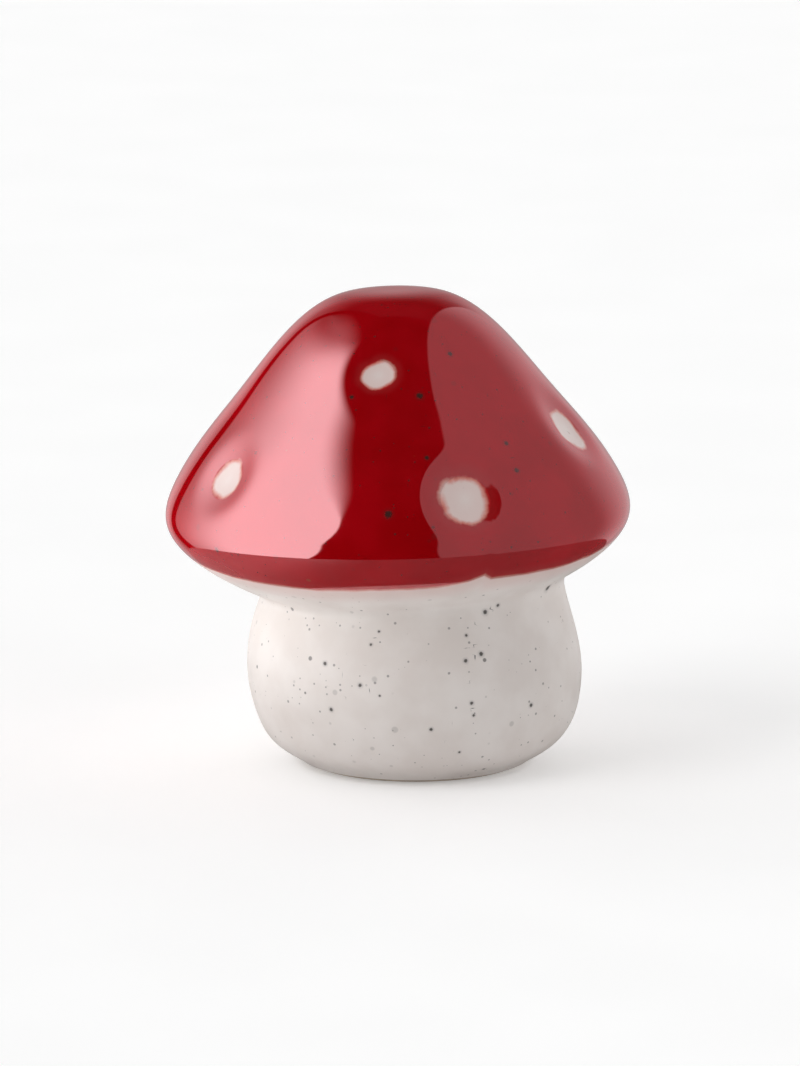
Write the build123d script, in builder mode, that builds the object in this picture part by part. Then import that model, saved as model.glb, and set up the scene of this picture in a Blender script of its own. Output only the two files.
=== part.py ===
from build123d import *
from math import cos, radians, sin
import os

# A hollow stoneware mushroom that stands on its foot. Cap and stem are formed apart,
# the cap is pressed with dents, luted on the stem with slip, then both are glazed:
# red over the cap with a white window in each dent, clear over the underside and the stem.
# The origin is the centre of the foot, on the table. +Z is up and -Y is the front.
# Sizes are in millimetres and angles in degrees.

# Walls and coats
wall = 4.5  # clay wall of the cap and of the stem's side
floor = 4.5  # clay thickness over the foot
glaze = 0.35  # coat of glaze on the clay
interlayer = 0.05  # where glaze and clay have fused, left out of both
slip = 0.6  # luting slip between the stem's top and the cap

# Where the cap sits: its axis misses the stem's axis a little, and it leans
rim_height = 37.7  # plane of the rim above the table
cap_shift = -2.6  # cap's axis from the stem's axis, along X
cap_lean = 1.4  # lift of the rim's right side

# Cap, finished outline: radii from its axis, rises and drops from the plane of the rim
cap_radius = 35.0
crown_rise = 34.5
shoulder_radius = 8.0
shoulder_rise = 33.9
flank_radius = 23.4
flank_rise = 19.8
skirt_inset = 1.7  # from the cap's radius, just above the rim
skirt_rise = 6.5
under_inset = 8.9  # from the cap's radius, on the underside
under_drop = 8.5
seat_radius = 15.0  # edge of the flat middle of the underside
seat_drop = 14.0
drain_radius = 12.0  # opening in that flat, from the cap's hollow into the stem

# Stem, finished outline: radii from its axis, heights above the table
throat_radius = 22.7  # narrow part under the cap
throat_height = 27.7
collar_radius = 24.1
collar_height = 22.7
belly_radius = 25.4
belly_height = 14.7
hip_radius = 24.5
hip_height = 8.5
ankle_radius = 21.5
ankle_height = 3.4
heel_radius = 17.6
heel_height = 0.8
foot_radius = 14.5  # outer edge of the ring that touches the table
dish_radius = 10.0  # shallow dish inside that ring
dish_depth = 0.9
dish_flat_radius = 6.0
vent_radius = 1.6  # pinhole that lets air out of the hollow in the kiln

# Where the glazes end
red_drop = 4.7  # edge of the red below the plane of the rim
foot_bare = 0.7  # height of the bare clay at the foot

groove_radius = 1.0  # clear glaze gathered in the groove between cap and stem

# Dents: a round-nosed tool is pressed in, and the lip that it leaves is smoothed
nose_radius = 26.0
lip_radius = 2.6
# bearing from the front towards the right, distance from the crown along the cap, depth, white radius
dents = [
    (-7.0, 22.9, 0.6, 2.5),
    (70.5, 36.0, 0.9, 3.5),
    (18.5, 44.2, 1.2, 3.8),
    (-55.0, 42.0, 1.1, 3.3),
    (118.0, 44.0, 1.1, 3.7),
    (161.0, 26.0, 0.7, 3.0),
    (-153.0, 43.0, 1.0, 3.5),
    (-118.0, 27.0, 0.8, 3.2),
]

os.makedirs("parts", exist_ok=True)

lean_sin = sin(radians(cap_lean))
lean_cos = cos(radians(cap_lean))
cap_frame = Plane((cap_shift, 0, rim_height), x_dir=(lean_cos, 0, lean_sin), z_dir=(-lean_sin, 0, lean_cos))
cap_section = Plane(cap_frame.origin, x_dir=cap_frame.x_dir, z_dir=(0, -1, 0))
cap_axis = Axis(cap_frame.origin, cap_frame.z_dir)

# Both outlines run from the top down, so their outer side is on the left hand.
cap_outline = [
    (0, crown_rise),
    (shoulder_radius, shoulder_rise),
    (flank_radius, flank_rise),
    (cap_radius - skirt_inset, skirt_rise),
    (cap_radius, 0),
    (cap_radius - under_inset, -under_drop),
    (seat_radius, -seat_drop),
]
cap_ends = [(1, 0), (seat_radius + under_inset - cap_radius, under_drop - seat_drop)]
stem_outline = [
    (throat_radius, rim_height),
    (throat_radius, throat_height),
    (collar_radius, collar_height),
    (belly_radius, belly_height),
    (hip_radius, hip_height),
    (ankle_radius, ankle_height),
    (heel_radius, heel_height),
    (foot_radius, 0),
]
stem_ends = [(0, -1), (-1, 0)]


def outward(curve, place, mode):
    """Direction square to an outline, to its outer side."""
    along = curve.tangent_at(place, position_mode=mode)
    return Vector(-along.Y, along.X)


def sunk(points, ends, depth):
    """The points of an outline, moved by a depth under its surface."""
    curve = Edge.make_spline(points, ends)
    moved = []
    for point in points:
        place = curve.param_at_point(point)
        spot = Vector(*point) - outward(curve, place, PositionMode.PARAMETER) * depth
        moved.append((spot.X, spot.Y))
    return moved


def cap_form(depth):
    """The cap as a plain solid, at a depth under its finished surface."""
    points = sunk(cap_outline, cap_ends, depth)
    crown = points[0]
    seat_edge = points[-1]
    with BuildPart() as form:
        with BuildSketch(cap_section):
            with BuildLine():
                Spline(*points, tangents=cap_ends)
                Polyline(seat_edge, (0, seat_edge[1]), crown)
            make_face()
        revolve(axis=cap_axis)
    return form.part


def dent_plane(bearing, reach):
    """Plane on the finished cap at the middle of a dent, facing straight out."""
    curve = Edge.make_spline(cap_outline, cap_ends)
    point = curve.position_at(reach, position_mode=PositionMode.LENGTH)
    out = outward(curve, reach, PositionMode.LENGTH)
    turn = radians(bearing)
    middle = cap_frame.from_local_coords(Vector(point.X * sin(turn), -point.X * cos(turn), point.Y))
    tip_radius = point.X + out.X
    tip_rise = point.Y + out.Y
    tip = cap_frame.from_local_coords(Vector(tip_radius * sin(turn), -tip_radius * cos(turn), tip_rise))
    return Plane(middle, z_dir=tip - middle)


def dented_form(depth):
    """The cap with its dents pressed in, at a depth under its finished surface."""
    plain = cap_form(depth)
    with BuildPart() as form:
        add(plain)
        with Locations(*[plane.location for plane in nose_planes]):
            Sphere(nose_radius + depth, mode=Mode.SUBTRACT)
        hollows = form.faces().filter_by(GeomType.SPHERE)
        lips = hollows.edges().filter_by(GeomType.CIRCLE, reverse=True)
        fillet(lips, lip_radius - depth)
    return form.part


def stem_form(depth, bottom):
    """The stem as a plain solid up to the rim's plane, at a depth under its finished surface."""
    points = sunk(stem_outline, stem_ends, depth)[:-1] + [(foot_radius, bottom)]
    with BuildPart() as form:
        with BuildSketch(Plane.XZ):
            with BuildLine():
                Spline(*points, tangents=stem_ends)
                Polyline(points[-1], (0, bottom), (0, rim_height), points[0])
            make_face()
        revolve(axis=Axis.Z)
    return form.part


dent_planes = [dent_plane(bearing, reach) for bearing, reach, _, _ in dents]
dent_depths = [depth for _, _, depth, _ in dents]
white_radii = [white_radius for _, _, _, white_radius in dents]
nose_planes = [plane.offset(nose_radius - depth) for plane, depth in zip(dent_planes, dent_depths)]
clay = glaze + interlayer
red_edge = cap_frame.offset(-red_drop)
window_length = 2 * wall

cap_coated = cap_form(0)
cap_coat_inside = cap_form(glaze)
cap_clay = cap_form(clay)
cap_hollow = cap_form(clay + wall)
cap_bedded = cap_form(clay - slip)
dented_coated = dented_form(0)
dented_coat_inside = dented_form(glaze)
dented_clay = dented_form(clay)
stem_coated = stem_form(0, 0)
stem_coat_inside = stem_form(glaze, 0)
stem_clay = stem_form(clay, 0)
stem_hollow = stem_form(clay + wall, floor)

with BuildPart() as cap_shell:
    add(dented_clay)
    add(cap_hollow, mode=Mode.SUBTRACT)
    with BuildSketch(cap_frame.offset(-seat_drop)):
        Circle(drain_radius)
    extrude(amount=seat_drop, mode=Mode.SUBTRACT)

with BuildPart() as stem_shell:
    add(stem_clay)
    add(stem_hollow, mode=Mode.SUBTRACT)
    add(cap_bedded, mode=Mode.SUBTRACT)
    with Locations((0, 0, dish_depth / 2)):
        Cone(dish_radius, dish_flat_radius, dish_depth, mode=Mode.SUBTRACT)
    with BuildSketch(Plane.XY):
        Circle(vent_radius)
    extrude(amount=floor, mode=Mode.SUBTRACT)

with BuildPart() as joint_slip:
    add(stem_clay)
    add(stem_hollow, mode=Mode.SUBTRACT)
    add(cap_bedded, mode=Mode.INTERSECT)
    add(cap_clay, mode=Mode.SUBTRACT)

with BuildPart() as windows:
    for plane, white_radius in zip(dent_planes, white_radii):
        with Locations(plane.location):
            Cylinder(white_radius, window_length)

with BuildPart() as red_glaze:
    add(dented_coated)
    split(bisect_by=red_edge, keep=Keep.TOP)
    add(dented_coat_inside, mode=Mode.SUBTRACT)
    add(windows, mode=Mode.SUBTRACT)

with BuildPart() as clear_glaze:
    add(cap_coated)
    add(stem_coated)
    groove = clear_glaze.edges(Select.LAST).filter_by(GeomType.BSPLINE).filter_by(Edge.is_closed)
    fillet(groove, groove_radius)
    split(bisect_by=Plane.XY.offset(foot_bare), keep=Keep.TOP)
    split(bisect_by=red_edge, keep=Keep.BOTTOM)
    add(cap_coat_inside, mode=Mode.SUBTRACT)
    add(stem_coat_inside, mode=Mode.SUBTRACT)

pieces = {
    "cap_shell": cap_shell,
    "stem_shell": stem_shell,
    "joint_slip": joint_slip,
    "red_glaze": red_glaze,
    "clear_glaze": clear_glaze,
}
for number, (plane, nose_plane, white_radius) in enumerate(zip(dent_planes, nose_planes, white_radii), 1):
    with BuildPart() as white_spot:
        with Locations(plane.location):
            Cylinder(white_radius, window_length)
        with Locations(nose_plane.location):
            Sphere(nose_radius + glaze, mode=Mode.INTERSECT)
            Sphere(nose_radius, mode=Mode.SUBTRACT)
    pieces[f"white_spot_{number}"] = white_spot

for name, piece in pieces.items():
    piece.part.label = name
    export_step(piece.part, f"parts/{name}.step")
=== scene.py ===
from math import cos, pi, radians, sin

import bmesh
import bpy
import numpy as np
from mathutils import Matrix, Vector
from mathutils.bvhtree import BVHTree
from mathutils.geometry import interpolate_bezier


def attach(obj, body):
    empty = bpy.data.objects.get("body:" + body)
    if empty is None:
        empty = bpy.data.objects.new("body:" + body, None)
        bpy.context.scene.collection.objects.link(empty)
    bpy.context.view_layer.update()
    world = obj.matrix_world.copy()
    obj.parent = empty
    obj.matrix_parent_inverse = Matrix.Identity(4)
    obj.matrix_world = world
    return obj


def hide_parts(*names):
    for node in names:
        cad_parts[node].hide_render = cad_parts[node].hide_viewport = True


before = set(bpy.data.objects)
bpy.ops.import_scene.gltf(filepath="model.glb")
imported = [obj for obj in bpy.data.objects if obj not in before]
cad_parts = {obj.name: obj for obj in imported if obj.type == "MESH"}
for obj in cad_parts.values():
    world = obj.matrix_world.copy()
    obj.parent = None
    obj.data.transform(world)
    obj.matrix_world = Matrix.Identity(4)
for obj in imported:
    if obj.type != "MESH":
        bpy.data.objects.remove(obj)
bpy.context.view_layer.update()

# A glazed stoneware mushroom. The clay nodes of the frame stay as they are. The coats of glaze
# are made here from one thin skin: thrown row by row, pressed with dents, then cut into pieces.
# Sizes are in millimetres and angles in degrees, as in the part's source. Bearings turn from the
# front towards the right.
MM = 0.001

# Where the cap sits on the stem
rim_height = 37.7
cap_shift = -2.6
cap_lean = radians(1.4)

# Outlines from the top down: cap by radius and rise from the rim's plane, stem by radius and height.
# The ends give the direction in which an outline leaves and arrives, and how hard it holds to it.
cap_points = [(0, 34.5), (8.0, 33.9), (23.4, 19.8), (33.3, 6.5), (35.0, 0), (26.1, -8.5), (15.0, -14.0)]
cap_ends = [(1.161, 0), (-2.284, -1.132)]
stem_points = [(22.7, rim_height), (22.7, 27.7), (24.1, 22.7), (25.4, 14.7),
               (24.5, 8.5), (21.5, 3.4), (17.6, 0.8), (14.5, 0)]
stem_ends = [(0, -1.202), (-2.175, 0)]

# The stem was left a little askew: shift to the left, height of its middle, how far it fades up and down
stem_shifts = [(0.32, 22.0, 7.0), (-0.15, 7.5, 3.0)]

# Coats
glaze = 0.35
foot_bare = 0.7  # height of the bare clay at the foot
groove_soft = 1.6  # reach of the glaze that softens the groove, to each side

# Dents: a round nose is pressed in and its lip is softened.
# Bearing, reach from the crown along the cap, depth, radius of the white
nose_radius = 26.0
nose_near = 1.1  # within this share of the nose's radius the skin belongs to a dent
lip_soft = 1.2
dents = [
    (-7.0, 22.9, 0.6, 2.5),
    (70.5, 36.0, 0.9, 3.5),
    (18.5, 44.2, 1.2, 3.8),
    (-55.0, 42.0, 1.1, 3.3),
    (118.0, 44.0, 1.1, 3.7),
    (161.0, 26.0, 0.7, 3.0),
    (-153.0, 43.0, 1.0, 3.5),
    (-118.0, 27.0, 0.8, 3.2),
]

# The red glaze was brushed on by hand: bearing and drop of its edge below the rim's plane
red_edge = [
    (-140, 5.0),
    (-105, 4.7),
    (-78, 4.0),
    (-50, 5.2),
    (-22, 5.8),
    (-4, 5.5),
    (10.5, 5.3),
    (19, 4.5),
    (22.5, 3.7),
    (25, 4.5),
    (46, 4.4),
    (60, 3.8),
    (80, 2.6),
    (115, 3.6),
    (150, 4.8),
    (185, 4.1),
]

# Larger specks, seen straight from the front: right of the stem's axis, height, radius
large_specks = [
    (-13.4, 19.3, 0.34),
    (-8.2, 16.6, 0.32),
    (-12.5, 12.5, 0.34),
    (-5.4, 24.5, 0.22),
    (-6.6, 22.6, 0.24),
    (-5.3, 15.2, 0.2),
    (2.3, 10.1, 0.3),
    (8.3, 13.9, 0.3),
    (8.6, 12.0, 0.26),
    (9.7, 21.0, 0.38),
    (7.4, 20.2, 0.34),
    (7.5, 23.8, 0.26),
    (10.3, 26.9, 0.4),
    (12.2, 27.7, 0.3),
    (19.8, 28.9, 0.6),
    (17.2, 12.4, 0.34),
    (6.5, 6.2, 0.24),
    (10.2, 2.4, 0.28),
    (-21.0, 32.0, 0.5),
    (0.6, 59.5, 0.55),
    (-4.0, 44.0, 0.6),
    (-9.4, 59.2, 0.34),
    (1.6, 51.4, 0.36),
    (5.1, 64.8, 0.4),
    (13.3, 52.6, 0.4),
    (14.8, 49.0, 0.42),
    (-29.3, 36.7, 0.42),
]

# Rows and columns of the skin
around = 288
cap_rows = 144
under_rows = 30
groove_rows = 12
stem_rows = 84
line_steps = 400  # places on each span of an outline


def drawn_line(points, ends):
    """A smooth line through points that leaves and arrives along the end directions.

    Gives the lengths along it and the places there, close together."""
    points = np.array(points, float)
    spans = np.linalg.norm(np.diff(points, axis=0), axis=1)
    weights = np.eye(len(points))
    pulls = np.zeros_like(points)
    pulls[0], pulls[-1] = ends
    for i in range(1, len(points) - 1):
        before = 1 / spans[i - 1]
        after = 1 / spans[i]
        weights[i, i - 1:i + 2] = before, 2 * (before + after), after
        pulls[i] = 3 * ((points[i] - points[i - 1]) * before**2 + (points[i + 1] - points[i]) * after**2)
    slopes = np.linalg.solve(weights, pulls)
    places = [points[0]]
    for i, span in enumerate(spans):
        leave = points[i] + slopes[i] * span / 3
        arrive = points[i + 1] - slopes[i + 1] * span / 3
        places.extend(interpolate_bezier(points[i], leave, arrive, points[i + 1], line_steps)[1:])
    places = np.array([place[:] for place in places])
    lengths = np.cumsum(np.linalg.norm(np.diff(places, axis=0), axis=1))
    return np.append(0, lengths), places


cap_lengths, cap_line = drawn_line(cap_points, cap_ends)
stem_lengths, stem_line = drawn_line(stem_points, stem_ends)


def cap_place(reach, bearing):
    """Places on the plain cap, at a reach from the crown along its outline."""
    radius = np.interp(reach, cap_lengths, cap_line[:, 0])
    rise = np.interp(reach, cap_lengths, cap_line[:, 1])
    across = radius * np.sin(bearing)
    x = cap_shift + across * cos(cap_lean) - rise * sin(cap_lean)
    y = -radius * np.cos(bearing)
    z = rim_height + across * sin(cap_lean) + rise * cos(cap_lean)
    return np.stack([x, y, z], axis=-1)


def stem_place(reach, bearing):
    """Places on the stem, at a reach from the top of its outline."""
    radius = np.interp(reach, stem_lengths, stem_line[:, 0])
    height = np.interp(reach, stem_lengths, stem_line[:, 1])
    height, radius, bearing = np.broadcast_arrays(height, radius, bearing)
    return np.stack([radius * np.sin(bearing), -radius * np.cos(bearing), height], axis=-1)


def stem_at(height, values):
    """What the stem's outline has at a height."""
    return np.interp(height, stem_line[::-1, 1], values[::-1])


def hand_of_potter(places):
    """The stem as it was left on the wheel: the upper part a little to the left, the foot to the right."""
    height = places[..., 2]
    moved = places.copy()
    for shift, middle, fade in stem_shifts:
        moved[..., 0] -= shift * np.exp(-(((height - middle) / fade) ** 2))
    return moved


def thrown_skin():
    """The whole outer skin from the crown to the bare foot, with no dents yet."""
    bearing = np.linspace(0, 2 * pi, around, endpoint=False)
    edge_bearings = [radians(turn) for turn, _ in red_edge]
    edge_drops = [drop for _, drop in red_edge]
    drop = np.interp(bearing, edge_bearings, edge_drops, period=2 * pi)
    low = np.argmin(np.abs(cap_line[:, 1]))
    edge_reach = np.interp(drop, -cap_line[low:, 1], cap_lengths[low:])

    # Where each column of the underside runs into the stem
    tries = edge_reach + np.linspace(0, 1, line_steps)[:, None] * (cap_lengths[-1] - edge_reach)
    under = cap_place(tries, bearing)
    clear = np.hypot(under[..., 0], under[..., 1]) - stem_at(under[..., 2], stem_line[:, 0])
    column = np.arange(around)
    inside = np.argmax(clear < 0, axis=0)
    share = clear[inside - 1, column] / (clear[inside - 1, column] - clear[inside, column])
    groove_reach = tries[inside - 1, column] * (1 - share) + tries[inside, column] * share
    corner = cap_place(groove_reach, bearing)
    stem_bearing = np.arctan2(corner[:, 0], -corner[:, 1])
    stem_top = stem_at(corner[:, 2], stem_lengths)

    def steps(rows):
        return np.linspace(0, 1, rows + 1)[:, None]

    cap_reach = steps(cap_rows) * edge_reach
    under_reach = edge_reach + steps(under_rows)[1:] * (groove_reach - groove_soft - edge_reach)
    stem_start = stem_top + groove_soft
    stem_reach = stem_start + steps(stem_rows) * (stem_at(foot_bare, stem_lengths) - stem_start)
    stem = hand_of_potter(stem_place(stem_reach, stem_bearing))
    under = cap_place(under_reach, bearing)
    turn = steps(groove_rows)[1:-1, :, None]
    groove = under[-1] * (1 - turn) ** 2 + 2 * corner * turn * (1 - turn) + stem[0] * turn**2
    rows = np.concatenate([cap_place(cap_reach, bearing), under, groove, stem])
    groove_above = edge_reach - groove_reach + groove_soft * (1 - 2 * turn[..., 0])
    stem_above = edge_reach - groove_reach + stem_top - stem_reach
    above = np.concatenate([edge_reach - cap_reach, edge_reach - under_reach, groove_above, stem_above])

    # The first row is the crown, one place
    places = np.concatenate([rows[0, :1], rows[1:].reshape(-1, 3)]) * MM
    above = np.concatenate([above[0, :1], above[1:].ravel()])
    grid = 1 + np.arange((len(rows) - 1) * around).reshape(-1, around)
    beside = np.roll(grid, -1, axis=1)
    fan = np.stack([np.zeros(around, int), grid[0], beside[0]], axis=-1)
    quads = np.stack([grid[:-1], grid[1:], beside[1:], beside[:-1]], axis=-1).reshape(-1, 4)
    mesh = bpy.data.meshes.new("skin")
    mesh.from_pydata(places.tolist(), [], fan.tolist() + quads.tolist())
    mesh.attributes.new("above edge", "FLOAT", "POINT").data.foreach_set("value", above.astype(np.float32))
    is_red = np.arange(len(mesh.polygons)) < around * cap_rows
    mesh.attributes.new("red", "BOOLEAN", "FACE").data.foreach_set("value", is_red)
    mesh.shade_smooth()
    skin = bpy.data.objects.new("skin", mesh)
    bpy.context.scene.collection.objects.link(skin)
    return skin


def marks(name, places, **values):
    """Loose points that a tree reads, each with values of its own."""
    mesh = bpy.data.meshes.new(name)
    mesh.from_pydata((np.array(places) * MM).tolist(), [], [])
    for key, value in values.items():
        value = np.array(value, np.float32) * MM
        kind, field = ("FLOAT_VECTOR", "vector") if value.ndim > 1 else ("FLOAT", "value")
        mesh.attributes.new(key, kind, "POINT").data.foreach_set(field, value.ravel())
    points = bpy.data.objects.new(name, mesh)
    bpy.context.scene.collection.objects.link(points)
    return points


def dent_marks():
    """The middle of the nose for each dent, where the finger or tool comes to rest."""
    step = 0.1  # to each side, to find how the cap slopes
    middles = []
    noses = []
    for bearing, reach, depth, _ in dents:
        turn = radians(bearing)
        ahead, behind = cap_place(np.array([reach + step, reach - step]), turn)
        side = np.array([cos(turn) * cos(cap_lean), sin(turn), cos(turn) * sin(cap_lean)])
        out = np.cross(ahead - behind, side)
        out = out / np.linalg.norm(out)
        middle = cap_place(np.array(reach), turn)
        middles.append(middle)
        noses.append(middle + out * (nose_radius - depth))
    return marks("dent marks", noses, middle=middles, white_radius=[white for _, _, _, white in dents])


class Wiring:
    """Adds nodes to a tree. Each call wires what it is given and returns an output."""

    def __init__(self, tree):
        self.tree = tree

    def node(self, kind, inputs=None, **settings):
        node = self.tree.nodes.new(kind)
        for key, value in settings.items():
            setattr(node, key, value)
        for key, value in (inputs or {}).items():
            if isinstance(value, bpy.types.NodeSocket):
                self.tree.links.new(value, node.inputs[key])
            else:
                node.inputs[key].default_value = value
        return node

    def math(self, operation, *values):
        return self.node("ShaderNodeMath", dict(enumerate(values)), operation=operation).outputs[0]

    def vector(self, operation, *values):
        node = self.node("ShaderNodeVectorMath", dict(enumerate(values)), operation=operation)
        return node.outputs["Value" if operation in ("LENGTH", "DOT_PRODUCT", "DISTANCE") else "Vector"]

    def scaled(self, vector, amount):
        node = self.node("ShaderNodeVectorMath", {"Vector": vector, "Scale": amount}, operation="SCALE")
        return node.outputs["Vector"]

    def ease(self, value, start, end, low=0.0, high=1.0):
        """A soft step: low up to start, high from end on."""
        inputs = {"Value": value, "From Min": start, "From Max": end, "To Min": low, "To Max": high}
        return self.node("ShaderNodeMapRange", inputs, interpolation_type="SMOOTHSTEP").outputs["Result"]

    def mixed(self, share, low, high):
        inputs = {"Factor": share, "A": low, "B": high}
        node = self.node("ShaderNodeMix", data_type="RGBA")
        for key, value in inputs.items():
            socket = next(s for s in node.inputs if s.name == key and s.enabled)
            if isinstance(value, bpy.types.NodeSocket):
                self.tree.links.new(value, socket)
            else:
                socket.default_value = value
        return next(s for s in node.outputs if s.enabled)


def new_tree(name, sizes):
    """An empty geometry tree with named inputs, and the wiring for it."""
    tree = bpy.data.node_groups.new(name, "GeometryNodeTree")
    tree.interface.new_socket("Geometry", in_out="INPUT", socket_type="NodeSocketGeometry")
    for label, kind in sizes.items():
        tree.interface.new_socket(label, in_out="INPUT", socket_type=kind)
    tree.interface.new_socket("Geometry", in_out="OUTPUT", socket_type="NodeSocketGeometry")
    wiring = Wiring(tree)
    return wiring, wiring.node("NodeGroupInput").outputs


def close_tree(wiring, geometry, material):
    """Ends a tree with plain geometry in its material."""
    real = wiring.node("GeometryNodeRealizeInstances", {"Geometry": geometry}).outputs[0]
    dressed = wiring.node("GeometryNodeSetMaterial", {"Geometry": real, "Material": material}).outputs[0]
    wiring.node("NodeGroupOutput", {"Geometry": dressed})


def nearest_mark(wiring, points, position):
    """Reads values of the mark that is nearest to each place."""
    geometry = wiring.node("GeometryNodeObjectInfo", {"Object": points}).outputs["Geometry"]
    inputs = {"Geometry": geometry, "Sample Position": position}
    index = wiring.node("GeometryNodeSampleNearest", inputs, domain="POINT").outputs["Index"]

    def read(value, kind):
        inputs = {"Geometry": geometry, "Value": value, "Index": index}
        node = wiring.node("GeometryNodeSampleIndex", inputs, data_type=kind, domain="POINT")
        return node.outputs["Value"]

    return read, index


def named(wiring, name, kind):
    node = wiring.node("GeometryNodeInputNamedAttribute", {"Name": name}, data_type=kind)
    return node.outputs["Attribute"]


def stored(wiring, geometry, name, value, kind, domain="POINT"):
    inputs = {"Geometry": geometry, "Name": name, "Value": value}
    node = wiring.node("GeometryNodeStoreNamedAttribute", inputs, data_type=kind, domain=domain)
    return node.outputs["Geometry"]


def press_tree(material):
    """Presses a round nose into the skin at each mark and finds the window of each dent."""
    wiring, given = new_tree("pressed dents", {
        "Dent Marks": "NodeSocketObject",
        "Nose Radius": "NodeSocketFloat",
        "Lip Softness": "NodeSocketFloat",
    })
    position = wiring.node("GeometryNodeInputPosition").outputs[0]
    read, index = nearest_mark(wiring, given["Dent Marks"], position)
    nose = read(position, "FLOAT_VECTOR")
    middle = read(named(wiring, "middle", "FLOAT_VECTOR"), "FLOAT_VECTOR")
    white_radius = read(named(wiring, "white_radius", "FLOAT"), "FLOAT")

    # Skin inside the nose is pushed out to its surface, with a soft lip
    from_nose = wiring.vector("SUBTRACT", position, nose)
    distance = wiring.vector("LENGTH", from_nose)
    depth = wiring.math("SUBTRACT", given["Nose Radius"], distance)
    press = wiring.math("SMOOTH_MAX", depth, 0.0, given["Lip Softness"])
    offset = wiring.scaled(wiring.vector("NORMALIZE", from_nose), press)
    inputs = {"Geometry": given["Geometry"], "Offset": offset}
    geometry = wiring.node("GeometryNodeSetPosition", inputs).outputs[0]

    # Distance from the dent's axis, and the faces that lie in the window
    axis = wiring.vector("NORMALIZE", wiring.vector("SUBTRACT", middle, nose))
    along_axis = wiring.scaled(axis, wiring.vector("DOT_PRODUCT", from_nose, axis))
    aside = wiring.vector("SUBTRACT", from_nose, along_axis)
    spot_reach = wiring.math("DIVIDE", wiring.vector("LENGTH", aside), white_radius)
    near = wiring.math("LESS_THAN", distance, wiring.math("MULTIPLY", given["Nose Radius"], nose_near))
    in_window = wiring.math("MULTIPLY", near, wiring.math("LESS_THAN", spot_reach, 1.0))
    number = wiring.math("MULTIPLY", in_window, wiring.math("ADD", index, 1.0))
    geometry = stored(wiring, geometry, "dent", number, "INT", "FACE")
    geometry = stored(wiring, geometry, "window", in_window, "BOOLEAN", "FACE")

    # Points between a window and the rest move onto the window's round edge
    window = named(wiring, "window", "BOOLEAN")
    outside = wiring.node("FunctionNodeBooleanMath", {0: window}, operation="NOT").outputs[0]
    inputs = {"Value": outside}
    rest = wiring.node("GeometryNodeFieldOnDomain", inputs, data_type="BOOLEAN", domain="FACE").outputs[0]
    on_edge = wiring.node("FunctionNodeBooleanMath", {0: window, 1: rest}, operation="AND").outputs[0]
    squares = wiring.math("MULTIPLY", given["Nose Radius"], given["Nose Radius"])
    squares = wiring.math("SUBTRACT", squares, wiring.math("MULTIPLY", white_radius, white_radius))
    along = wiring.scaled(axis, wiring.math("SQRT", squares))
    out = wiring.scaled(wiring.vector("NORMALIZE", aside), white_radius)
    edge = wiring.vector("ADD", nose, wiring.vector("ADD", along, out))
    inputs = {"Geometry": geometry, "Selection": on_edge, "Position": edge}
    geometry = wiring.node("GeometryNodeSetPosition", inputs).outputs[0]

    # Away from the dents the distance is made too long to matter
    far = wiring.math("MULTIPLY", wiring.math("SUBTRACT", 1.0, near), 9.0)
    geometry = stored(wiring, geometry, "spot reach", wiring.math("ADD", spot_reach, far), "FLOAT")
    normal = wiring.node("GeometryNodeInputNormal").outputs["Normal"]
    geometry = stored(wiring, geometry, "outward", normal, "FLOAT_VECTOR")
    close_tree(wiring, geometry, material)
    return wiring.tree


def speck_tree(material):
    """Notes how each place of the skin lies from the nearest large speck, and that speck's size."""
    wiring, given = new_tree("large specks", {"Speck Marks": "NodeSocketObject"})
    position = wiring.node("GeometryNodeInputPosition").outputs[0]
    read, _ = nearest_mark(wiring, given["Speck Marks"], position)
    away = wiring.vector("SUBTRACT", position, read(position, "FLOAT_VECTOR"))
    size = read(named(wiring, "size", "FLOAT"), "FLOAT")
    geometry = stored(wiring, given["Geometry"], "from speck", away, "FLOAT_VECTOR")
    geometry = stored(wiring, geometry, "speck size", size, "FLOAT")
    close_tree(wiring, geometry, material)
    return wiring.tree


def worked(piece, tree, sizes):
    """Runs a tree on a piece and keeps the result as its plain mesh."""
    modifier = piece.modifiers.new(tree.name, "NODES")
    modifier.node_group = tree
    for item in tree.interface.items_tree:
        if item.in_out == "INPUT" and item.name in sizes:
            modifier[item.identifier] = sizes[item.name]
    keep_result(piece)


def keep_result(piece):
    """Makes the piece's modified shape its plain mesh."""
    shape = piece.evaluated_get(bpy.context.evaluated_depsgraph_get())
    mesh = bpy.data.meshes.new_from_object(shape)
    piece.modifiers.clear()
    piece.data = mesh


def speck_marks(skin):
    """Each large speck on the skin, found by looking straight from the front."""
    surface = BVHTree.FromObject(skin, bpy.context.evaluated_depsgraph_get())
    places = []
    for across, height, _ in large_specks:
        hit = surface.ray_cast(Vector((across * MM, -1, height * MM)), Vector((0, 1, 0)))[0]
        places.append(np.array(hit) / MM)
    return marks("speck marks", places, size=[size for _, _, size in large_specks])


def read_values(mesh, name, field, width=1):
    data = mesh.attributes[name].data
    values = np.zeros(len(data) * width, np.float32)
    data.foreach_get(field, values)
    return values.reshape(-1, width) if width > 1 else values


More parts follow.
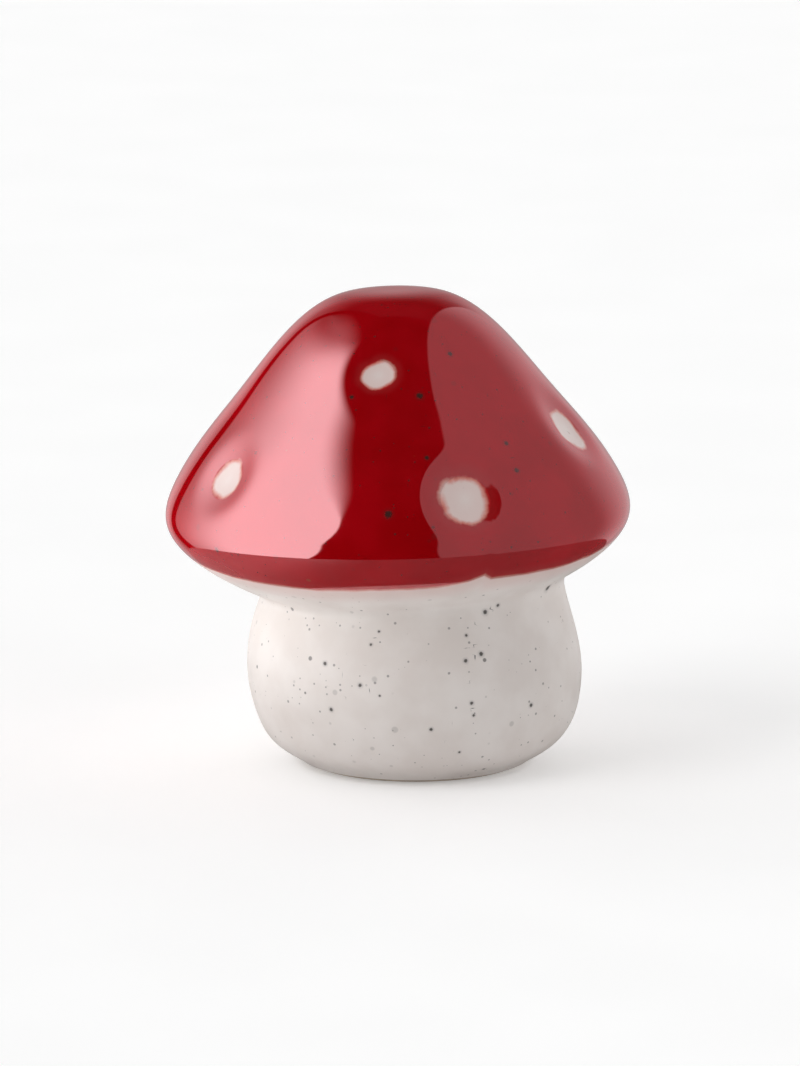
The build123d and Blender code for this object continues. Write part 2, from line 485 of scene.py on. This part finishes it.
def coat(name, skin, chosen, material):
    """The chosen faces of the skin as a closed coat of glaze, shaded as the whole skin is."""
    flush = 0.5  # faces that turn away further than this are the coat's cut edges
    shape = bmesh.new()
    shape.from_mesh(skin.data)
    shape.faces.ensure_lookup_table()
    spare = [face for face in shape.faces if not chosen[face.index]]
    bmesh.ops.delete(shape, geom=spare, context="FACES")
    mesh = bpy.data.meshes.new(name)
    shape.to_mesh(mesh)
    shape.free()
    piece = bpy.data.objects.new(name, mesh)
    bpy.context.scene.collection.objects.link(piece)
    body = piece.modifiers.new("coat", "SOLIDIFY")
    body.thickness = glaze * MM
    body.offset = -1
    keep_result(piece)
    mesh = piece.data
    mesh.name = name

    # Normals of the whole skin on the outer side, turned round on the inner side
    outward = read_values(mesh, "outward", "vector", 3)
    corners = np.zeros(len(mesh.loops), int)
    mesh.loops.foreach_get("vertex_index", corners)
    flat = np.repeat(
        np.array([face.normal[:] for face in mesh.polygons]),
        [face.loop_total for face in mesh.polygons],
        axis=0,
    )
    facing = np.sum(flat * outward[corners], axis=1)[:, None]
    normals = np.where(facing < -flush, -outward[corners], flat)
    normals = np.where(facing > flush, outward[corners], normals)
    mesh.normals_split_custom_set(normals.tolist())
    mesh.materials.clear()
    mesh.materials.append(material)
    return piece


# Finishes. Colours are linear.
clay_light = (0.81, 0.755, 0.722, 1)
clay_dark = (0.75, 0.685, 0.648, 1)
clay_stained = (0.74, 0.59, 0.56, 1)
red_deep = (0.37, 0.0005, 0.003, 1)
red_bright = (0.43, 0.0010, 0.005, 1)
red_wash = (0.40, 0.014, 0.016, 1)
red_thin = (0.64, 0.24, 0.20, 1)
speck_dark = (0.035, 0.026, 0.022, 1)
speck_rust = (0.23, 0.085, 0.03, 1)
speck_grey = (0.20, 0.18, 0.17, 1)
plain_sheen = (1, 1, 1, 1)
red_sheen = (1, 0.58, 0.62, 1)  # what the red glaze does to a reflection
bare_light = (0.60, 0.50, 0.41, 1)
bare_dark = (0.47, 0.38, 0.30, 1)

# Specks by chance: size of the cells that they lie in, largest radius, share of the cells that have one
fine_specks = (1.0, 0.28, 0.55)
middling_specks = (2.6, 0.45, 0.6)
blurred_specks = (2.9, 0.7, 0.75)
bare_grit = (1.2, 0.22, 0.5)
fine_strength = 0.7
middling_strength = 0.7
blurred_strength = 0.28
grit_strength = 0.7
rusty_above = 0.82  # chance number from which a middling speck is rusty

# The large specks, in radii from their middle: dark core, faint halo, ragged outline
speck_core = (1.35, 0.8)
speck_core_strength = 0.9
speck_halo = (2.4, 0.9)
speck_halo_strength = 0.3
speck_rag_size = 0.25
speck_rag = 0.6

# How the brush strayed: size of the waves, then how far they swing
broad_stray = (3.8, 2.2)
fine_stray = (0.7, 0.5)
edge_stray = 0.3  # share of that at the lower edge
white_share = 0.9  # the red starts at this share of the white's radius
white_size = 3.5  # radius of a usual white

# Colours of the red from outside its edge inwards: where each begins and is full, inside the edge
edge_colours = [
    (-5.5, -0.5, clay_stained),
    (-0.5, 0.3, red_thin),
    (0.1, 0.7, red_wash),
]
red_full = (0.4, 2.6)
sheen_edge = (-0.2, 0.6)

# Skin of the glaze: size and height of its slow waves and of its fine grain, and how much it mirrors
glaze_wave_size = 9.0
glaze_wave = 0.05
glaze_grain_size = 1.1
glaze_grain = 0.0012
glaze_index = 2.2


def new_material(name):
    material = bpy.data.materials.new(name)
    material.use_nodes = True
    material.node_tree.nodes.clear()
    return material, Wiring(material.node_tree)


def in_millimetres(wiring):
    place = wiring.node("ShaderNodeTexCoord").outputs["Object"]
    return wiring.scaled(place, 1 / MM)


def cloudy(wiring, place, size, detail=2.0):
    """Soft noise from 0 to 1 with features of a size."""
    inputs = {"Vector": place, "Scale": 1 / size, "Detail": detail, "Roughness": 0.5}
    return wiring.node("ShaderNodeTexNoise", inputs).outputs["Fac"]


def read_attribute(wiring, name, output="Fac"):
    return wiring.node("ShaderNodeAttribute", attribute_name=name).outputs[output]


def sprinkled(wiring, place, cell, largest, share):
    """Specks by chance in cells of a size: how much of each place they cover, and a chance number."""
    mostly_small = 1.6
    core = 0.55
    inputs = {"Vector": place, "Scale": 1 / cell}
    cells = wiring.node("ShaderNodeTexVoronoi", inputs)
    chance = wiring.node("ShaderNodeSeparateXYZ", {0: cells.outputs["Color"]}).outputs
    radius = wiring.math("MULTIPLY", wiring.math("POWER", chance[0], mostly_small), largest / cell)
    distance = wiring.math("DIVIDE", cells.outputs["Distance"], radius)
    shown = wiring.math("LESS_THAN", chance[1], share)
    return wiring.math("MULTIPLY", wiring.ease(distance, 1.0, core), shown), chance[2]


def speckled(wiring, place, colour, faint, strength):
    """A colour with iron specks in it: fine, middling and blurred ones by chance, then the large ones."""
    fine, _ = sprinkled(wiring, place, *fine_specks)
    colour = wiring.mixed(wiring.math("MULTIPLY", fine, fine_strength * strength), colour, faint)
    middling, chance = sprinkled(wiring, place, *middling_specks)
    tint = wiring.mixed(wiring.math("GREATER_THAN", chance, rusty_above), speck_dark, speck_rust)
    colour = wiring.mixed(wiring.math("MULTIPLY", middling, middling_strength * strength), colour, tint)
    blurred, _ = sprinkled(wiring, place, *blurred_specks)
    colour = wiring.mixed(wiring.math("MULTIPLY", blurred, blurred_strength * strength), colour, faint)
    away = wiring.vector("LENGTH", read_attribute(wiring, "from speck", "Vector"))
    ratio = wiring.math("DIVIDE", away, read_attribute(wiring, "speck size"))
    rag = wiring.math("MULTIPLY", cloudy(wiring, place, speck_rag_size), speck_rag)
    ragged = wiring.math("ADD", ratio, rag)
    halo = wiring.math("MULTIPLY", wiring.ease(ragged, *speck_halo), speck_halo_strength)
    colour = wiring.mixed(halo, colour, faint)
    return wiring.mixed(wiring.ease(ragged, *speck_core, 0.0, speck_core_strength), colour, speck_dark)


def red_cover(wiring, place):
    """How far each place lies inside the brushed red, in millimetres: below 0 the clay shows."""
    broad_size, broad_swing = broad_stray
    fine_size, fine_swing = fine_stray
    broad = wiring.math("SUBTRACT", cloudy(wiring, place, broad_size, 1.0), 0.5)
    fine = wiring.math("SUBTRACT", cloudy(wiring, place, fine_size, 2.0), 0.5)
    broad = wiring.math("MULTIPLY", broad, broad_swing)
    stray = wiring.math("ADD", broad, wiring.math("MULTIPLY", fine, fine_swing))
    from_spot = wiring.math("SUBTRACT", read_attribute(wiring, "spot reach"), white_share)
    from_spot = wiring.math("ADD", wiring.math("MULTIPLY", from_spot, white_size), stray)
    edge_swing = wiring.math("MULTIPLY", stray, edge_stray)
    from_edge = wiring.math("ADD", read_attribute(wiring, "above edge"), edge_swing)
    return wiring.math("MINIMUM", from_spot, from_edge)


def glazed(name, roughness, level):
    """Glaze over speckled stoneware: red where the red was brushed, clear elsewhere."""
    material, wiring = new_material(name)
    place = in_millimetres(wiring)
    clay = wiring.mixed(wiring.ease(cloudy(wiring, place, 7.0, 3.0), 0.3, 0.7), clay_light, clay_dark)
    clay = speckled(wiring, place, clay, speck_grey, 1.0)
    red = wiring.mixed(wiring.ease(cloudy(wiring, place, 9.0), 0.35, 0.65), red_deep, red_bright)
    red = speckled(wiring, place, red, speck_dark, 0.7)
    cover = red_cover(wiring, place)
    colour = clay
    for begin, full, tint in edge_colours:
        colour = wiring.mixed(wiring.ease(cover, begin, full), colour, tint)
    colour = wiring.mixed(wiring.ease(cover, *red_full), colour, red)
    waves = wiring.math("MULTIPLY", cloudy(wiring, place, glaze_wave_size, 1.0), glaze_wave)
    grain = wiring.math("MULTIPLY", cloudy(wiring, place, glaze_grain_size), glaze_grain)
    skin = wiring.math("ADD", waves, grain)
    bump = wiring.node("ShaderNodeBump", {"Height": skin, "Distance": MM, "Strength": 1.0}).outputs[0]
    gloss = wiring.ease(cloudy(wiring, place, 5.0), 0.3, 0.7, roughness, 1.4 * roughness)
    sheen = wiring.mixed(wiring.ease(cover, *sheen_edge), plain_sheen, red_sheen)
    inputs = {
        "Base Color": colour,
        "Roughness": gloss,
        "IOR": glaze_index,
        "Specular IOR Level": level,
        "Specular Tint": sheen,
        "Normal": bump,
    }
    surface = wiring.node("ShaderNodeBsdfPrincipled", inputs).outputs[0]
    wiring.node("ShaderNodeOutputMaterial", {"Surface": surface})
    return material


def bare_clay(name):
    """Unglazed stoneware, as on the foot: warm, matt and gritty."""
    material, wiring = new_material(name)
    place = in_millimetres(wiring)
    colour = wiring.mixed(wiring.ease(cloudy(wiring, place, 5.0, 4.0), 0.3, 0.7), bare_light, bare_dark)
    grit, _ = sprinkled(wiring, place, *bare_grit)
    colour = wiring.mixed(wiring.math("MULTIPLY", grit, grit_strength), colour, speck_dark)
    pits = wiring.math("MULTIPLY", grit, -0.6)
    height = wiring.math("ADD", cloudy(wiring, place, 0.5, 4.0), pits)
    inputs = {"Height": height, "Distance": 0.05 * MM, "Strength": 1.0}
    bump = wiring.node("ShaderNodeBump", inputs).outputs[0]
    rough = wiring.ease(cloudy(wiring, place, 2.0), 0.3, 0.7, 0.72, 0.9)
    inputs = {"Base Color": colour, "Roughness": rough, "Normal": bump}
    surface = wiring.node("ShaderNodeBsdfPrincipled", inputs).outputs[0]
    wiring.node("ShaderNodeOutputMaterial", {"Surface": surface})
    return material


red_glaze = glazed("red glaze", roughness=0.035, level=1.0)
white_glaze = glazed("white spot", roughness=0.035, level=0.24)
clear_glaze = glazed("clear glaze", roughness=0.4, level=0.2)
stoneware = bare_clay("bare stoneware")

skin = thrown_skin()
dent_points = dent_marks()
worked(skin, press_tree(red_glaze), {
    "Dent Marks": dent_points,
    "Nose Radius": nose_radius * MM,
    "Lip Softness": lip_soft * MM,
})
speck_points = speck_marks(skin)
worked(skin, speck_tree(red_glaze), {"Speck Marks": speck_points})

is_red = read_values(skin.data, "red", "value").astype(bool)
dent_number = read_values(skin.data, "dent", "value").astype(int)
coats = {
    "red_glaze": (is_red & (dent_number == 0), red_glaze, "red_glaze"),
    "clear_glaze": (~is_red, clear_glaze, "clear_glaze"),
}
for number in range(1, len(dents) + 1):
    coats[f"white_spot_{number}"] = (dent_number == number, white_glaze, "white_spot")
for node, (chosen, material, slot) in coats.items():
    piece = coat(f"{node}_coat", skin, chosen, material)
    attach(piece, "root")
    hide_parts(node)
for spare in (skin, dent_points, speck_points):
    bpy.data.objects.remove(spare)
for node in ("cap_shell", "stem_shell", "joint_slip"):
    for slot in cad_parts[node].material_slots:
        slot.material = stoneware


def look_at(thing, eye, target):
    thing.location = eye
    thing.rotation_euler = (Vector(target) - Vector(eye)).to_track_quat("-Z", "Y").to_euler()


# Camera, as it stood for the photograph
view_height = radians(10.49)
view_distance = 0.85
view_target = Vector((-2.3, 0, 35.04)) * MM
camera = bpy.data.objects.new("camera", bpy.data.cameras.new("camera"))
camera.data.sensor_fit = "VERTICAL"
camera.data.sensor_height = 36
camera.data.lens = 189.7
eye = view_target + view_distance * Vector((0, -cos(view_height), sin(view_height)))
look_at(camera, eye, view_target)
bpy.context.scene.collection.objects.link(camera)
bpy.context.scene.camera = camera


# Studio. A brightness of 1 is white.
camera_lift = 0.27  # what the camera adds to the floor, so that only the shadow is grey
bounce_lift = 0.13  # what the floor adds to the light on the object's foot
table_radius = 85  # the object stands on a small table, with the tent's walls below it
table_edge = 1
floor_half = 4.0  # in metres
floor_grain_size = 40.0
floor_greys = (0.84, 0.86)
floor_shade_sides = (-15.0, -60.0)  # where the shaded right part of the floor ends and the lit left part begins
floor_gloss_shade = (0.85, 0.5)  # painted shade: how much darker these two look in the gloss, most on the right where the object shades the table, less on the left that the tent's left wall lights

# Light that the tent gives
left_light = 0.9
left_behind = 2.0  # times as much behind the object
left_below = 4.2  # times as much below it
right_light = 1.4
right_overhead = 0.3  # share of it that is left overhead
back_light = 0.9
slit_light = 0.02
top_light = 1.0  # overhead in the slit, too soft to be mirrored
key_light = 2.75  # brightest part of the left wall, in the direction of key_way
key_way = (-0.55, -0.65, 0.52)
key_edge = (0.8, 0.95)

# How the tent looks in the gloss, with the shares that are left where a wall is dimmer
left_gloss = 2.9
left_overhead = 0.2
left_deep = 0.16
right_gloss = 0.29
right_behind = 3.3  # times as bright behind the object
back_gloss = 1.15
back_far = 0.5
back_high = 0.02
back_beside = 0.25
back_beside_high = 0.05
slit_gloss = 0.002

# Edges of the tent's walls. A place on the tent is its way from the object, with a length of 1:
# x to the right, y to the back, z up. Each pair says where an edge begins and where the wall is full.
overhead = (0.62, 0.82)  # heights between which the left wall's front edge grows soft
left_begins = (-0.40, -0.32)  # x of that edge, below and overhead
left_full = (-0.42, -0.55)
left_foot = 0.2  # how far the edge runs out to the left from foot_heights down
foot_heights = (0.8, 0.0)
left_slant = 1.5  # the left wall ends behind along y + left_slant * x
left_ends = (0.02, 0.0)
right_begins = (0.315, 0.335)
back_tilt = 0.246  # the back wall ends overhead along y - back_tilt * z
back_top = (0.0, 0.06)
back_slant = 1.75  # and on the left along y + back_slant * x
back_begins = (0.0, 0.03)


def floor_finish():
    """Pale paper. The camera sees it everywhere, the object only as far as a small table goes. In the
    gloss it carries painted shade, darker on the right than on the left.
    """
    material, wiring = new_material("pale floor")
    place = in_millimetres(wiring)
    grain = wiring.ease(cloudy(wiring, place, floor_grain_size), 0.3, 0.7, *floor_greys)
    rays = wiring.node("ShaderNodeLightPath").outputs
    x = wiring.node("ShaderNodeSeparateXYZ", {0: place}).outputs[0]
    # Painted shade: in the gloss the paper looks darker than the camera sees it, most on the right, where
    # the object shades it, less on the lit left
    shade_in_gloss = wiring.math("MULTIPLY", rays["Is Glossy Ray"], wiring.ease(x, *floor_shade_sides, *floor_gloss_shade))
    grey = wiring.math("MULTIPLY", grain, wiring.math("SUBTRACT", 1.0, shade_in_gloss))
    paper = wiring.node("ShaderNodeBsdfDiffuse", {"Color": grey}).outputs[0]
    bounce = wiring.math("MULTIPLY", rays["Is Diffuse Ray"], bounce_lift)
    lift = wiring.math("ADD", wiring.math("MULTIPLY", rays["Is Camera Ray"], camera_lift), bounce)
    glow = wiring.node("ShaderNodeEmission", {"Strength": lift}).outputs[0]
    both = wiring.node("ShaderNodeAddShader", {0: paper, 1: glow}).outputs[0]
    beyond = wiring.ease(wiring.vector("LENGTH", place), table_radius, table_radius + table_edge)
    gone = wiring.math("MULTIPLY", wiring.math("SUBTRACT", 1.0, rays["Is Camera Ray"]), beyond)
    through = wiring.node("ShaderNodeBsdfTransparent").outputs[0]
    surface = wiring.node("ShaderNodeMixShader", {0: gone, 1: both, 2: through}).outputs[0]
    wiring.node("ShaderNodeOutputMaterial", {"Surface": surface})
    return material


floor_corners = [
    (-floor_half, -floor_half, 0),
    (floor_half, -floor_half, 0),
    (floor_half, floor_half, 0),
    (-floor_half, floor_half, 0),
]
floor_mesh = bpy.data.meshes.new("floor")
floor_mesh.from_pydata(floor_corners, [], [(0, 1, 2, 3)])
floor_mesh.materials.append(floor_finish())
floor = bpy.data.objects.new("floor", floor_mesh)
bpy.context.scene.collection.objects.link(floor)


def studio():
    """A white light tent, open along a slit from overhead down the front. The camera sees plain white."""
    world = bpy.data.worlds.new("light tent")
    world.use_nodes = True
    world.node_tree.nodes.clear()
    wiring = Wiring(world.node_tree)
    way = wiring.node("ShaderNodeTexCoord").outputs["Generated"]
    x, y, z = wiring.node("ShaderNodeSeparateXYZ", {0: way}).outputs

    # Where each wall is
    front = wiring.math("ADD", x, wiring.ease(z, *foot_heights, 0.0, left_foot))
    front_begins = wiring.ease(z, *overhead, *left_begins)
    front_full = wiring.ease(z, *overhead, *left_full)
    behind = wiring.math("ADD", y, wiring.math("MULTIPLY", x, left_slant))
    left = wiring.ease(front, front_begins, front_full)
    left = wiring.math("MULTIPLY", left, wiring.ease(behind, *left_ends))
    right = wiring.ease(x, *right_begins)
    under_top = wiring.math("SUBTRACT", y, wiring.math("MULTIPLY", z, back_tilt))
    beside = wiring.math("ADD", y, wiring.math("MULTIPLY", x, back_slant))
    back = wiring.math("MULTIPLY", wiring.ease(under_top, *back_top), wiring.ease(beside, *back_begins))

    # How bright each wall looks in the gloss
    left_rise = wiring.math("ADD", z, wiring.math("MULTIPLY", y, 0.5))
    left_high = wiring.ease(left_rise, 0.93, 0.77, left_overhead, 1.0)
    left_dim = wiring.ease(y, 0.85, 0.0, left_deep * left_gloss, left_gloss)
    left_sheen = wiring.math("MULTIPLY", left, wiring.math("MULTIPLY", left_high, left_dim))
    right_sheen = wiring.ease(y, 0.4, 0.95, right_gloss, right_behind * right_gloss)
    right_sheen = wiring.math("MULTIPLY", right, right_sheen)
    back_middle = wiring.ease(z, 0.7, 0.1, back_high * back_gloss, back_far * back_gloss)
    back_side = wiring.ease(y, 0.8, 0.98, back_beside * back_gloss, back_gloss)
    back_side = wiring.math("MULTIPLY", back_side, wiring.ease(z, 0.75, 0.4, back_beside_high, 1.0))
    back_sheen = wiring.ease(wiring.math("ABSOLUTE", x), 0.1, 0.4, back_middle, back_side)
    back_sheen = wiring.math("MULTIPLY", back, back_sheen)

    # How much light each wall gives
    key = wiring.ease(wiring.vector("DOT_PRODUCT", way, key_way), *key_edge, 0.0, key_light)
    left_lamp = wiring.math("ADD", key, wiring.ease(y, 0.0, 0.6, left_light, left_behind * left_light))
    left_lamp = wiring.math("MULTIPLY", left_lamp, wiring.ease(z, 0.1, -0.2, 1.0, left_below))
    left_lamp = wiring.math("MULTIPLY", left, left_lamp)
    right_lamp = wiring.ease(z, 0.9, 0.3, right_overhead * right_light, right_light)
    right_lamp = wiring.math("MULTIPLY", right, right_lamp)
    back_lamp = wiring.math("MULTIPLY", back, back_light)
    slit_lamp = wiring.ease(z, 0.75, 0.95, slit_light, top_light)

    def tent(left_part, right_part, back_part, slit_part):
        walls = wiring.math("MAXIMUM", left_part, wiring.math("MAXIMUM", right_part, back_part))
        return wiring.math("MAXIMUM", walls, slit_part)

    rays = wiring.node("ShaderNodeLightPath").outputs
    glossy = rays["Is Glossy Ray"]
    mirrored = tent(left_sheen, right_sheen, back_sheen, slit_gloss)
    lighting = tent(left_lamp, right_lamp, back_lamp, slit_lamp)
    seen = wiring.math("MAXIMUM", rays["Is Camera Ray"], rays["Is Transmission Ray"])
    strength = wiring.math(
        "ADD",
        wiring.math("MULTIPLY", glossy, mirrored),
        wiring.math("MULTIPLY", wiring.math("SUBTRACT", 1.0, glossy), lighting),
    )
    strength = wiring.math("MAXIMUM", strength, seen)
    background = wiring.node("ShaderNodeBackground", {"Strength": strength}).outputs[0]
    wiring.node("ShaderNodeOutputWorld", {"Surface": background})
    bpy.context.scene.world = world


studio()
bpy.context.scene.view_settings.view_transform = "Standard"
